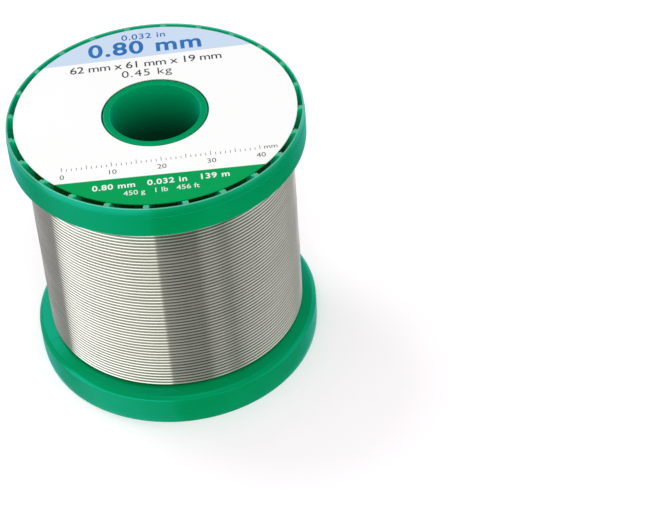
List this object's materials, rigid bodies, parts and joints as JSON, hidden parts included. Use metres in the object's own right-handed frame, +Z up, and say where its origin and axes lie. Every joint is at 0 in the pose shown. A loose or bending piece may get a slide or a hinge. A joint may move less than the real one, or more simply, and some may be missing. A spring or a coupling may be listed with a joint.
{
  "type": "solder wire spool",
  "caption": "Green plastic spool with ribbed round flanges and a through bore, filled with bright close-wound solder wire, with a paper label ring on each flange.",
  "frame": {"origin": "middle of the lower flange's foot, on the surface that the spool stands on", "axes": "+Z up along the spool's axis, from the lower flange to the upper one; the upper label reads along +X"},
  "size_m": [0.062, 0.062, 0.061],
  "materials": {
    "spool_green": "moulded, glossy",
    "label_paper": "printed coated paper",
    "solder_wire": "bright drawn tin alloy",
    "clear_tape": "clear adhesive film"
  },
  "bodies": {
    "root": {"top_flange": "spool_green", "bottom_flange": "spool_green", "hub_tube": "spool_green", "barrel": "spool_green", "top_label": "label_paper", "bottom_label": "label_paper", "inner_winding": "solder_wire", "outer_winding": "solder_wire", "wire_start": "solder_wire", "end_tape": "clear_tape"}
  },
  "joints": []
}
